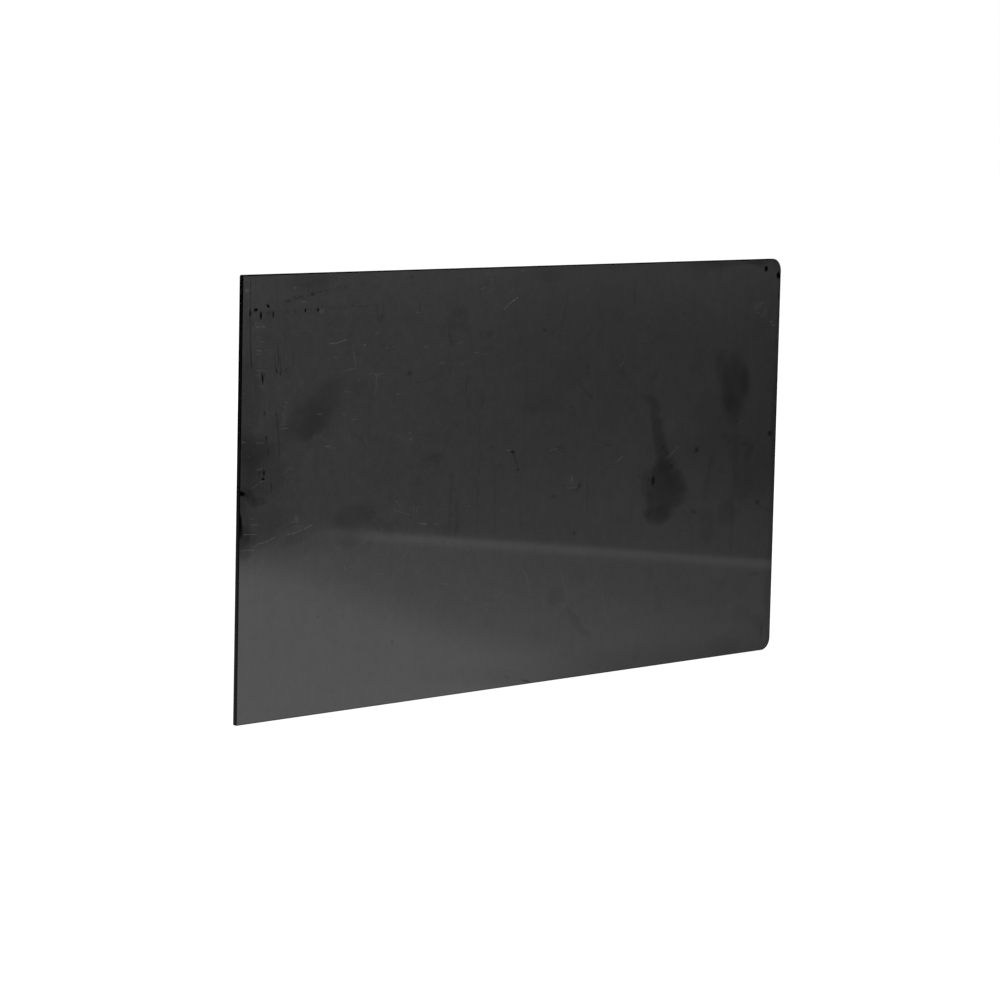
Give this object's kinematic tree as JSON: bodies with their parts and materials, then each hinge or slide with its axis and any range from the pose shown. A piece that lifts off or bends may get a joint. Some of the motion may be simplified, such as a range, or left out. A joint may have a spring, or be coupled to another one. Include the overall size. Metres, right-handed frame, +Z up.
{
  "type": "kick plate",
  "caption": "Flat black plastic kick plate for the foot of a door, rounded at one end, held on by strips of double-sided foam tape.",
  "frame": {"origin": "middle of the centre strip, on the plane where the plate meets the door", "axes": "+X along the width towards the rounded end, +Y out of the back into the door, +Z up"},
  "size_m": [0.5588, 0.0044, 0.3048],
  "materials": {
    "face": "satin gloss, scuffed and fingermarked",
    "tape": "matt closed-cell foam",
    "liner": "smooth siliconed paper"
  },
  "bodies": {
    "root": {"face_plate": "face", "tape_top": "tape", "tape_bottom": "tape", "tape_cut_end": "tape", "tape_centre": "tape", "tape_round_end": "tape", "liner_top": "liner", "liner_bottom": "liner", "liner_cut_end": "liner", "liner_centre": "liner", "liner_round_end": "liner"}
  },
  "joints": []
}
